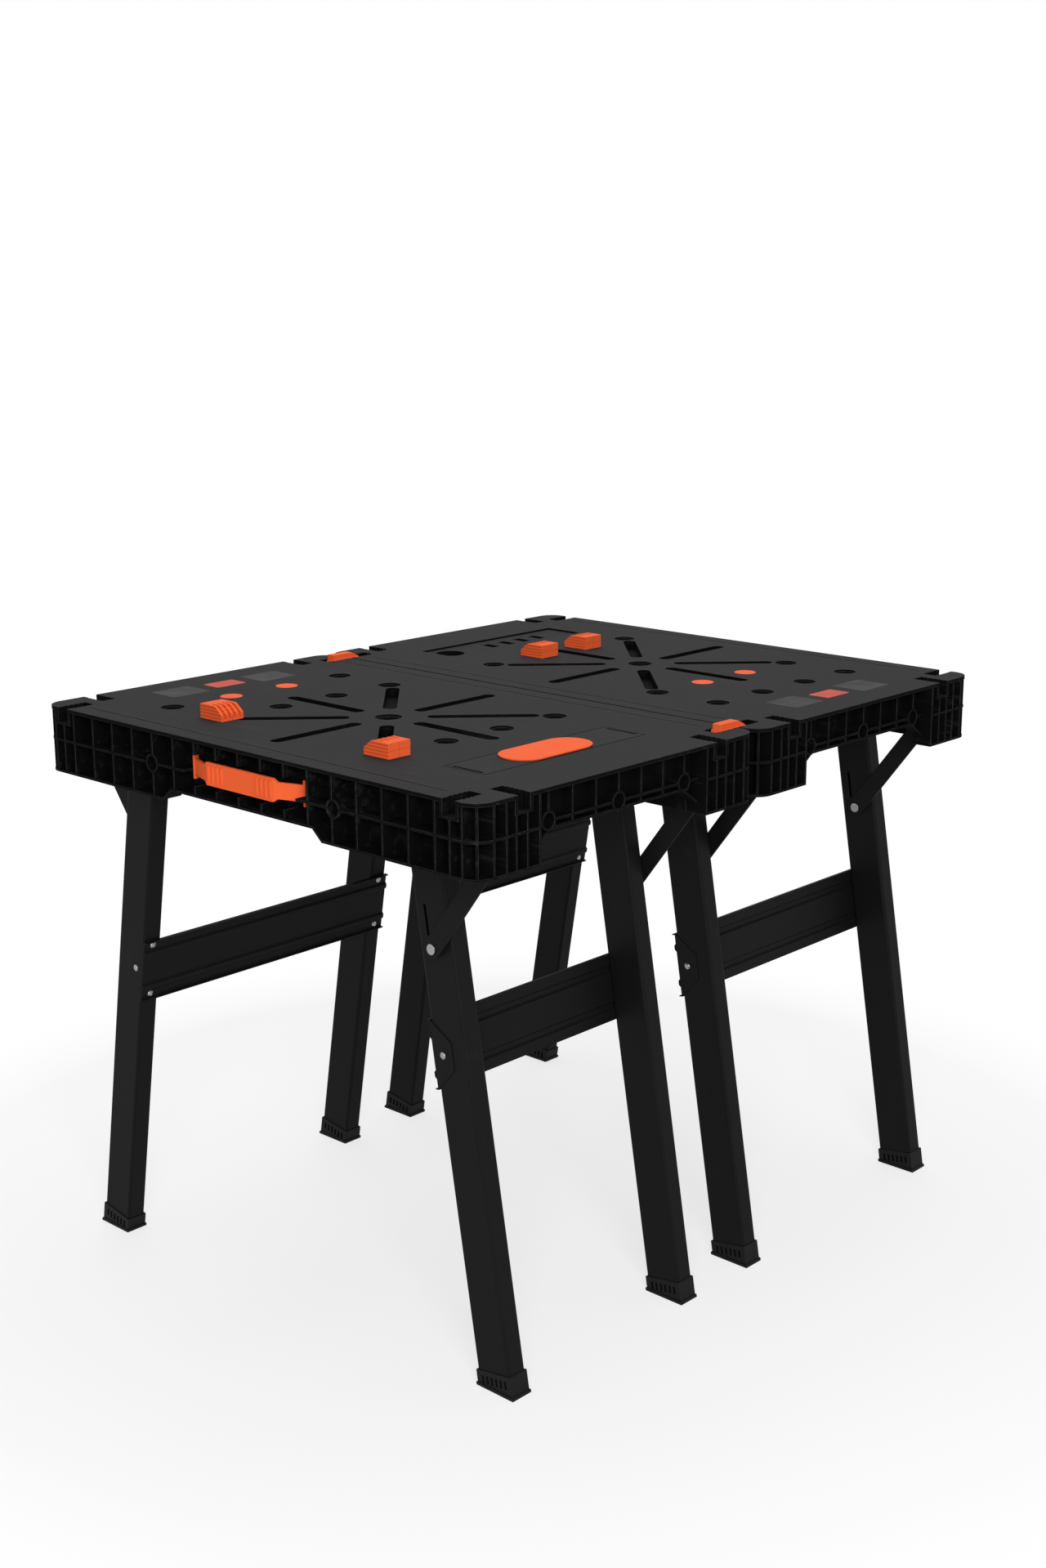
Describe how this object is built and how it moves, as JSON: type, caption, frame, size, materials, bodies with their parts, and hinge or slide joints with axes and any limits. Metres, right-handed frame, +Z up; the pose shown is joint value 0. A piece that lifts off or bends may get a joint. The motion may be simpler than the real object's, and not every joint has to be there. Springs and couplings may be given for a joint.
{
  "type": "folding workbench pair",
  "caption": "Two linked folding workbenches: ribbed moulded tops with dog holes and a tray, steel legs that slide and fold into the tops, lift-out clamp dogs, pull-out handles.",
  "frame": {"origin": "on the floor under the middle of the seam between the two tops", "axes": "+X along the benches' length, +Y across both benches from the near one to the far one, +Z up"},
  "size_m": [0.86, 1.068, 0.824],
  "materials": {
    "deck_plastic": "matte moulded",
    "lid_plastic": "matte moulded",
    "black_plastic": "matte moulded",
    "black_steel": "satin powder coat",
    "bright_steel": "zinc plated",
    "orange_plastic": "satin moulded"
  },
  "bodies": {
    "tops": {"near_top": "deck_plastic", "far_top": "deck_plastic", "near_hole_caps": "orange_plastic", "far_hole_caps": "orange_plastic", "near_wide_brace_pivots": "bright_steel", "near_narrow_brace_pivots": "bright_steel", "far_wide_brace_pivots": "bright_steel", "far_narrow_brace_pivots": "bright_steel"},
    "near_handle": {"near_handle": "orange_plastic"},
    "near_wide_slider": {"near_wide_leg_pivots": "bright_steel"},
    "near_wide_legs": {"near_wide_leg_handle_side": "black_steel", "near_wide_leg_seam_side": "black_steel", "near_wide_foot_handle_side": "black_plastic", "near_wide_foot_seam_side": "black_plastic", "near_wide_crossbar": "black_steel", "near_wide_crossbar_rivets": "bright_steel"},
    "near_wide_braces": {"near_wide_brace_handle_side": "black_steel", "near_wide_brace_seam_side": "black_steel", "near_wide_brace_rivets": "bright_steel"},
    "near_narrow_slider": {"near_narrow_leg_pivots": "bright_steel"},
    "near_narrow_legs": {"near_narrow_leg_handle_side": "black_steel", "near_narrow_leg_seam_side": "black_steel", "near_narrow_foot_handle_side": "black_plastic", "near_narrow_foot_seam_side": "black_plastic", "near_narrow_crossbar": "black_steel", "near_narrow_crossbar_rivets": "bright_steel"},
    "near_narrow_braces": {"near_narrow_brace_handle_side": "black_steel", "near_narrow_brace_seam_side": "black_steel", "near_narrow_brace_rivets": "bright_steel"},
    "far_handle": {"far_handle": "orange_plastic"},
    "far_wide_slider": {"far_wide_leg_pivots": "bright_steel"},
    "far_wide_legs": {"far_wide_leg_handle_side": "black_steel", "far_wide_leg_seam_side": "black_steel", "far_wide_foot_handle_side": "black_plastic", "far_wide_foot_seam_side": "black_plastic", "far_wide_crossbar": "black_steel", "far_wide_crossbar_rivets": "bright_steel"},
    "far_wide_braces": {"far_wide_brace_handle_side": "black_steel", "far_wide_brace_seam_side": "black_steel", "far_wide_brace_rivets": "bright_steel"},
    "far_narrow_slider": {"far_narrow_leg_pivots": "bright_steel"},
    "far_narrow_legs": {"far_narrow_leg_handle_side": "black_steel", "far_narrow_leg_seam_side": "black_steel", "far_narrow_foot_handle_side": "black_plastic", "far_narrow_foot_seam_side": "black_plastic", "far_narrow_crossbar": "black_steel", "far_narrow_crossbar_rivets": "bright_steel"},
    "far_narrow_braces": {"far_narrow_brace_handle_side": "black_steel", "far_narrow_brace_seam_side": "black_steel", "far_narrow_brace_rivets": "bright_steel"},
    "near_dog_left": {"near_dog_left": "orange_plastic"},
    "near_dog_right": {"near_dog_right": "orange_plastic"},
    "far_dog_left": {"far_dog_left": "orange_plastic"},
    "far_dog_right": {"far_dog_right": "orange_plastic"},
    "tray_lid": {"tray_lid": "lid_plastic", "lid_inlay": "orange_plastic"},
    "link_clip_left": {"link_clip_left": "orange_plastic"},
    "link_clip_right": {"link_clip_right": "orange_plastic"}
  },
  "joints": [
    {"name": "near_handle_slide", "type": "slide", "parent": "tops", "child": "near_handle", "axis": [0, -1, 0], "range_m": [0, 0.018]},
    {"name": "near_wide_slide", "type": "slide", "parent": "tops", "child": "near_wide_slider", "axis": [-1, 0, 0], "range_m": [0, 0.12426]},
    {"name": "near_wide_fold", "type": "hinge", "parent": "near_wide_slider", "child": "near_wide_legs", "pos_m": [-0.25, -0.268, 0.742], "axis": [0, -1, 0], "range_deg": [0, 99.5]},
    {"name": "near_wide_brace", "type": "hinge", "parent": "tops", "child": "near_wide_braces", "pos_m": [-0.383, -0.268, 0.719], "axis": [0, -1, 0], "range_deg": [0, 60.42]},
    {"name": "near_narrow_slide", "type": "slide", "parent": "tops", "child": "near_narrow_slider", "axis": [1, 0, 0], "range_m": [0, 0.12426]},
    {"name": "near_narrow_fold", "type": "hinge", "parent": "near_narrow_slider", "child": "near_narrow_legs", "pos_m": [0.25, -0.268, 0.739], "axis": [0, 1, 0], "range_deg": [0, 99.5]},
    {"name": "near_narrow_brace", "type": "hinge", "parent": "tops", "child": "near_narrow_braces", "pos_m": [0.383, -0.268, 0.716], "axis": [0, 1, 0], "range_deg": [0, 60.42]},
    {"name": "far_handle_slide", "type": "slide", "parent": "tops", "child": "far_handle", "axis": [0, 1, 0], "range_m": [0, 0.018]},
    {"name": "far_wide_slide", "type": "slide", "parent": "tops", "child": "far_wide_slider", "axis": [1, 0, 0], "range_m": [0, 0.12426]},
    {"name": "far_wide_fold", "type": "hinge", "parent": "far_wide_slider", "child": "far_wide_legs", "pos_m": [0.25, 0.268, 0.742], "axis": [0, 1, 0], "range_deg": [0, 99.5]},
    {"name": "far_wide_brace", "type": "hinge", "parent": "tops", "child": "far_wide_braces", "pos_m": [0.383, 0.268, 0.719], "axis": [0, 1, 0], "range_deg": [0, 60.42]},
    {"name": "far_narrow_slide", "type": "slide", "parent": "tops", "child": "far_narrow_slider", "axis": [-1, 0, 0], "range_m": [0, 0.12426]},
    {"name": "far_narrow_fold", "type": "hinge", "parent": "far_narrow_slider", "child": "far_narrow_legs", "pos_m": [-0.25, 0.268, 0.739], "axis": [0, -1, 0], "range_deg": [0, 99.5]},
    {"name": "far_narrow_brace", "type": "hinge", "parent": "tops", "child": "far_narrow_braces", "pos_m": [-0.383, 0.268, 0.716], "axis": [0, -1, 0], "range_deg": [0, 60.42]},
    {"name": "near_dog_left_lift", "type": "slide", "parent": "tops", "child": "near_dog_left", "axis": [0, 0, 1], "range_m": [0, 0.04]},
    {"name": "near_dog_right_lift", "type": "slide", "parent": "tops", "child": "near_dog_right", "axis": [0, 0, 1], "range_m": [0, 0.04]},
    {"name": "far_dog_left_lift", "type": "slide", "parent": "tops", "child": "far_dog_left", "axis": [0, 0, 1], "range_m": [0, 0.04]},
    {"name": "far_dog_right_lift", "type": "slide", "parent": "tops", "child": "far_dog_right", "axis": [0, 0, 1], "range_m": [0, 0.04]},
    {"name": "tray_lid_lift", "type": "slide", "parent": "tops", "child": "tray_lid", "axis": [0, 0, 1], "range_m": [0, 0.05]},
    {"name": "link_clip_left_lift", "type": "slide", "parent": "tops", "child": "link_clip_left", "axis": [0, 0, 1], "range_m": [0, 0.05]},
    {"name": "link_clip_right_lift", "type": "slide", "parent": "tops", "child": "link_clip_right", "axis": [0, 0, 1], "range_m": [0, 0.05]}
  ],
  "couplings": [
    {"joint": "near_wide_slide", "follows": "near_wide_fold", "m_per_rad": 0.071556},
    {"joint": "near_wide_brace", "follows": "near_wide_fold", "ratio": 0.60723},
    {"joint": "near_narrow_fold", "follows": "near_wide_fold", "ratio": 1},
    {"joint": "near_narrow_slide", "follows": "near_wide_fold", "m_per_rad": 0.071556},
    {"joint": "near_narrow_brace", "follows": "near_wide_fold", "ratio": 0.60723},
    {"joint": "far_wide_slide", "follows": "far_wide_fold", "m_per_rad": 0.071556},
    {"joint": "far_wide_brace", "follows": "far_wide_fold", "ratio": 0.60723},
    {"joint": "far_narrow_fold", "follows": "far_wide_fold", "ratio": 1},
    {"joint": "far_narrow_slide", "follows": "far_wide_fold", "m_per_rad": 0.071556},
    {"joint": "far_narrow_brace", "follows": "far_wide_fold", "ratio": 0.60723}
  ]
}
